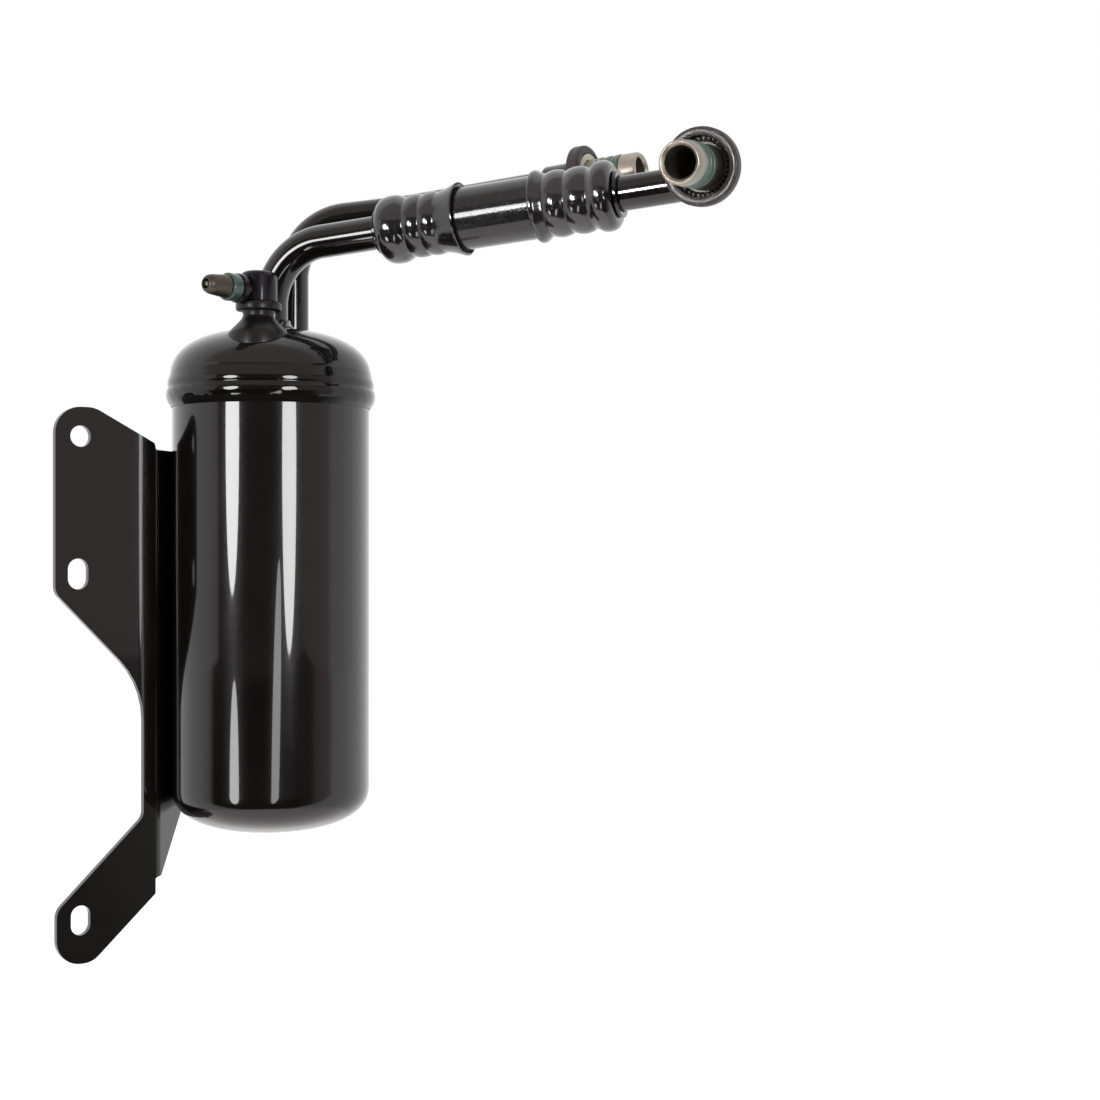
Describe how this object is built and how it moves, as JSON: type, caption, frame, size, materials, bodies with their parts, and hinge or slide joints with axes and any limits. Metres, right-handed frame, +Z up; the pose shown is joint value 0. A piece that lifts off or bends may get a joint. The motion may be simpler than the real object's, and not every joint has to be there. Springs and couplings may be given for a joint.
{
  "type": "suction line accumulator",
  "caption": "Air-conditioning suction line accumulator: welded can with a folded side bracket, a tube with a crimped hose, a bent inlet tube, spring-lock couplings and a service port.",
  "frame": {"origin": "on the rear face of the bracket's flat plate, between the round hole and the upper slot", "axes": "+Z up along the can's axis, -Y towards the picture's front view, +X towards the couplings"},
  "size_m": [0.2937, 0.1919, 0.3622],
  "materials": {
    "paint": "gloss",
    "ferrule": "gloss",
    "sheet": "satin",
    "rubber": "satin",
    "bare": "machined",
    "steel": "rolled",
    "spring": "bright",
    "seal": "satin",
    "cream": "moulded",
    "brass": "machined",
    "head": "gloss",
    "mesh": "woven",
    "felt": "felt"
  },
  "bodies": {
    "root": {"bracket_weld_lower": "paint", "bracket_weld_upper": "paint", "canister_shell": "paint", "desiccant_bag": "felt", "far_ferrule": "ferrule", "far_stop_ring": "paint", "hose_end_tube": "paint", "inlet_cage": "paint", "inlet_collar": "paint", "inlet_garter_spring": "spring", "inlet_marker_ring": "cream", "inlet_seal_1": "seal", "inlet_seal_2": "seal", "inlet_seal_3": "seal", "inlet_spigot": "bare", "inlet_tube": "paint", "mounting_bracket": "sheet", "near_ferrule": "ferrule", "near_stop_ring": "paint", "outlet_cage": "paint", "outlet_collar": "paint", "outlet_garter_spring": "spring", "outlet_seal_1": "seal", "outlet_seal_2": "seal", "outlet_seal_3": "seal", "outlet_spigot": "bare", "outlet_tube": "paint", "pickup_filter": "mesh", "pickup_tube": "bare", "port_head": "head", "port_post": "paint", "seam_weld": "paint", "service_valve": "brass", "suction_hose": "rubber", "top_cap": "paint", "valve_core": "brass", "valve_seal": "seal", "vapour_baffle": "steel"}
  },
  "joints": []
}
